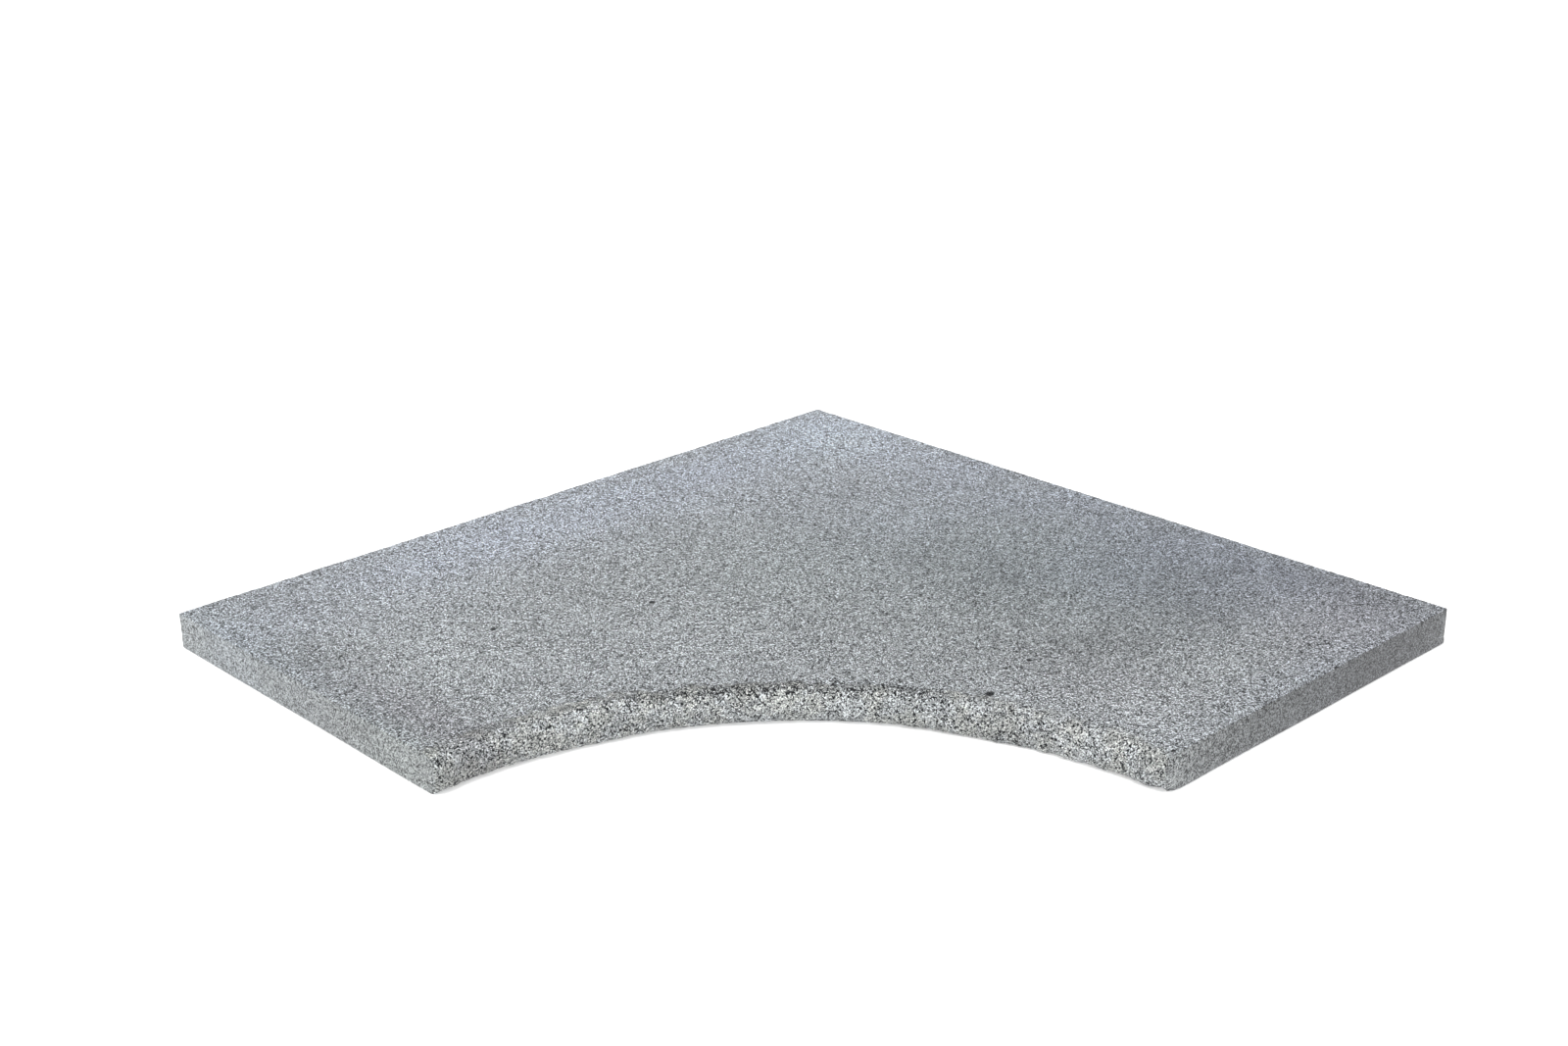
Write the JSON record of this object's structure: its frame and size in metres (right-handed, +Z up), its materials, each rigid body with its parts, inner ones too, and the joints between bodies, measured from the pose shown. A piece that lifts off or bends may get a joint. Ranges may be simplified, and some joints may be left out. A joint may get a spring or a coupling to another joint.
{
  "type": "granite slab",
  "caption": "Flat granite coping slab with a rounded quarter-circle inner edge, laid at the inside corner of a pool, terrace or step.",
  "frame": {"origin": "centre of the square outline, on the underside, where the slab rests", "axes": "+Z up, out of the top face; X and Y along the straight sides; the quarter circle is taken out of the corner at +X, -Y"},
  "size_m": [0.7, 0.7, 0.03],
  "materials": {
    "granite": "matte"
  },
  "bodies": {
    "root": {"granite_slab": "granite"}
  },
  "joints": []
}
